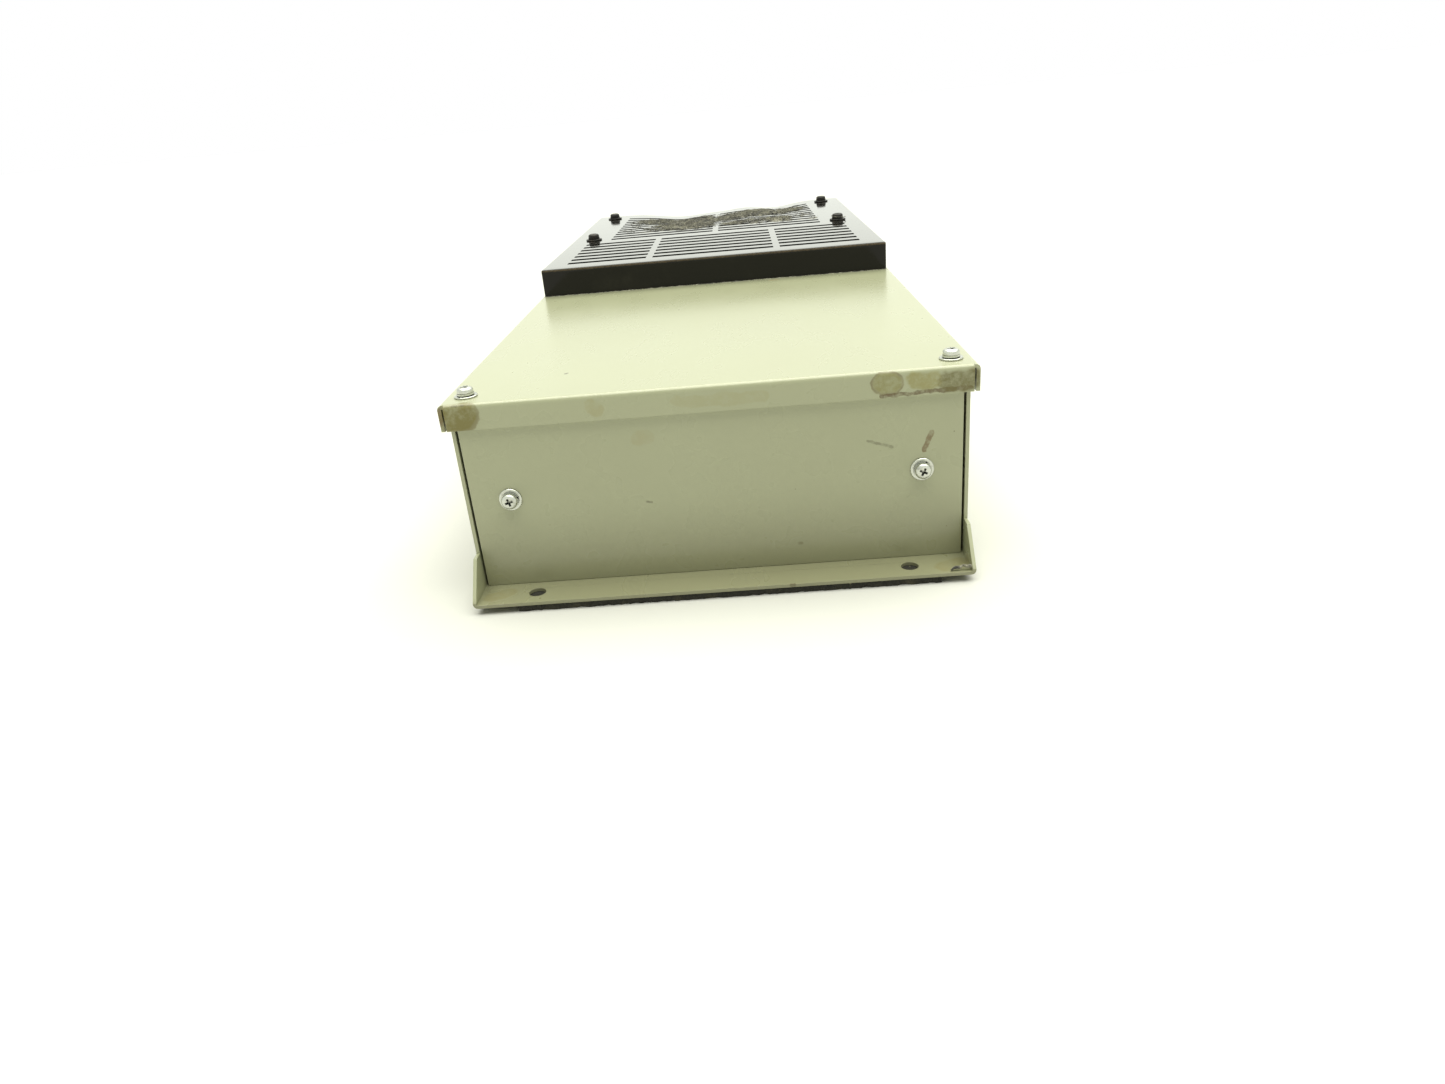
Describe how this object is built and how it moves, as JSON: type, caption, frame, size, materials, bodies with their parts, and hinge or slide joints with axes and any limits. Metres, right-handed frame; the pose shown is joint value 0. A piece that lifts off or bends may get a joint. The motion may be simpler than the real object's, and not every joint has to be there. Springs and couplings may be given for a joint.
{
  "type": "variable frequency drive",
  "caption": "Chassis variable frequency drive: folded steel case with end mounting flanges, lipped front cover and a slotted hood over four cooling fans.",
  "frame": {"origin": "middle of the face that meets the mounting panel, under the gasket strips", "axes": "+X to the right seen from the front with the plain end down, +Y along the case from the plain end to the fan end, +Z out of the mounting panel"},
  "size_m": [0.225, 0.595, 0.1117],
  "materials": {
    "beige_paint": "satin baked enamel on folded sheet steel",
    "brown_black_plastic": "dull brown-black moulded plastic, dusty",
    "foam_rubber": "closed-cell foam strip",
    "zinc_plate": "bright zinc plate",
    "black_oxide": "black oxide with oil",
    "grommet_rubber": "moulded rubber",
    "sink_aluminium": "extruded, as drawn",
    "fan_plastic": "glass-filled moulding",
    "module_resin": "moulded resin case",
    "circuit_board": "solder mask on glass laminate",
    "capacitor_sleeve": "shrink sleeve",
    "silicon_steel": "varnished laminations",
    "copper_enamel": "enamelled copper wire",
    "terminal_plastic": "moulded thermoset",
    "relay_plastic": "moulded case",
    "stud_brass": "turned",
    "terminal_green": "moulded",
    "trimmer_blue": "moulded",
    "trimmer_white": "moulded",
    "button_red": "moulded"
  },
  "bodies": {
    "drive": {"base_pan": "beige_paint", "cable_grommet_1": "grommet_rubber", "cable_grommet_2": "grommet_rubber", "cable_grommet_3": "grommet_rubber", "capacitor_clamp": "zinc_plate", "choke_core": "silicon_steel", "choke_winding": "copper_enamel", "control_board": "circuit_board", "control_shelf": "zinc_plate", "control_terminal_block": "terminal_green", "cover_screw_left": "zinc_plate", "cover_screw_right": "zinc_plate", "dc_capacitor_1": "capacitor_sleeve", "dc_capacitor_2": "capacitor_sleeve", "dc_capacitor_3": "capacitor_sleeve", "dc_capacitor_4": "capacitor_sleeve", "fan_frame_far_left": "fan_plastic", "fan_frame_far_right": "fan_plastic", "fan_frame_near_left": "fan_plastic", "fan_frame_near_right": "fan_plastic", "fan_tray": "zinc_plate", "far_end_panel": "beige_paint", "far_panel_screw_left": "zinc_plate", "far_panel_screw_right": "zinc_plate", "front_cover": "beige_paint", "gasket_far": "foam_rubber", "gasket_left": "foam_rubber", "gasket_near": "foam_rubber", "gasket_right": "foam_rubber", "ground_stud": "stud_brass", "heat_sink": "sink_aluminium", "hood_post_far_left": "zinc_plate", "hood_post_far_right": "zinc_plate", "hood_post_near_left": "zinc_plate", "hood_post_near_right": "zinc_plate", "hood_screw_far_left": "black_oxide", "hood_screw_far_right": "black_oxide", "hood_screw_near_left": "black_oxide", "hood_screw_near_right": "black_oxide", "inverter_module": "module_resin", "near_end_panel": "beige_paint", "near_panel_screw_left": "zinc_plate", "near_panel_screw_right": "zinc_plate", "power_board": "circuit_board", "power_terminal_block": "terminal_plastic", "precharge_relay": "relay_plastic", "rectifier_module": "module_resin", "reset_button_body": "terminal_plastic", "speed_trimmer_body": "trimmer_blue", "torque_trimmer_body": "trimmer_blue", "vent_hood": "brown_black_plastic"},
    "fan_rotor_far_left": {"fan_rotor_far_left": "fan_plastic"},
    "fan_rotor_far_right": {"fan_rotor_far_right": "fan_plastic"},
    "fan_rotor_near_left": {"fan_rotor_near_left": "fan_plastic"},
    "fan_rotor_near_right": {"fan_rotor_near_right": "fan_plastic"},
    "speed_trimmer_screw": {"speed_trimmer_screw": "trimmer_white"},
    "torque_trimmer_screw": {"torque_trimmer_screw": "trimmer_white"},
    "reset_button_cap": {"reset_button_cap": "button_red"}
  },
  "joints": [
    {"name": "fan_spin_far_left", "type": "hinge", "parent": "drive", "child": "fan_rotor_far_left", "pos_m": [-0.041, 0.21595, 0.06325], "axis": [0, 0, 1], "continuous": true},
    {"name": "fan_spin_far_right", "type": "hinge", "parent": "drive", "child": "fan_rotor_far_right", "pos_m": [0.041, 0.21595, 0.06325], "axis": [0, 0, 1], "continuous": true},
    {"name": "fan_spin_near_left", "type": "hinge", "parent": "drive", "child": "fan_rotor_near_left", "pos_m": [-0.041, 0.13395, 0.06325], "axis": [0, 0, 1], "continuous": true},
    {"name": "fan_spin_near_right", "type": "hinge", "parent": "drive", "child": "fan_rotor_near_right", "pos_m": [0.041, 0.13395, 0.06325], "axis": [0, 0, 1], "continuous": true},
    {"name": "speed_trimmer_turn", "type": "hinge", "parent": "drive", "child": "speed_trimmer_screw", "pos_m": [0.0181, -0.2075, 0.07185], "axis": [0, 0, 1], "range_deg": [-135, 135]},
    {"name": "torque_trimmer_turn", "type": "hinge", "parent": "drive", "child": "torque_trimmer_screw", "pos_m": [0.0341, -0.2075, 0.07185], "axis": [0, 0, 1], "range_deg": [-135, 135]},
    {"name": "reset_button_press", "type": "slide", "parent": "drive", "child": "reset_button_cap", "axis": [0, 0, -1], "range_m": [0, 0.0015], "stiffness_N_per_m": 300, "springref_m": -0.002}
  ]
}
